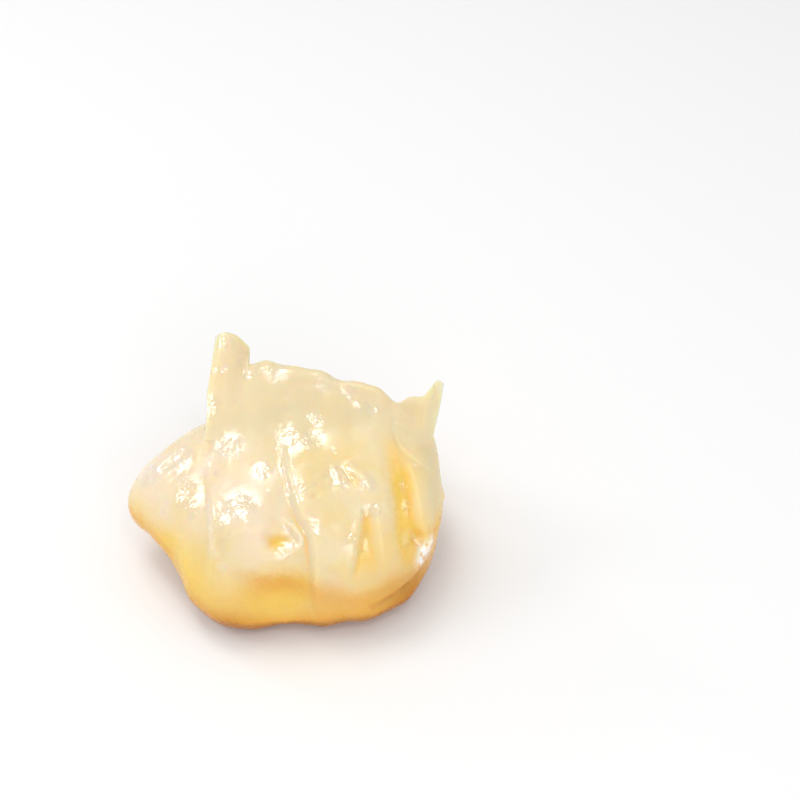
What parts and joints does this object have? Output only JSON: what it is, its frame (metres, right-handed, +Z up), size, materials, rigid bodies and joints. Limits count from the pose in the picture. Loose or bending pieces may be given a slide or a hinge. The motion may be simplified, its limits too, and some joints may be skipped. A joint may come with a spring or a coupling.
{
  "type": "har gow dumpling",
  "caption": "Steamed har gow: a thin glassy wrapper round a shrimp filling, pleated in front and pinched shut along a leaning crest, resting on a flat foot.",
  "frame": {"origin": "middle of the dumpling's box in plan, on the surface that it rests on", "axes": "+X along the crest from the standing tab to the curled ear, -Y the pleated front, +Z up"},
  "size_m": [0.0548, 0.0416, 0.0357],
  "materials": {
    "steamed_wrapper": "wet and glassy: pale ivory on the crest, pink-white over the shrimp, yellow in the folds and amber under the foot"
  },
  "bodies": {
    "root": {"dumpling": "steamed_wrapper"}
  },
  "joints": []
}
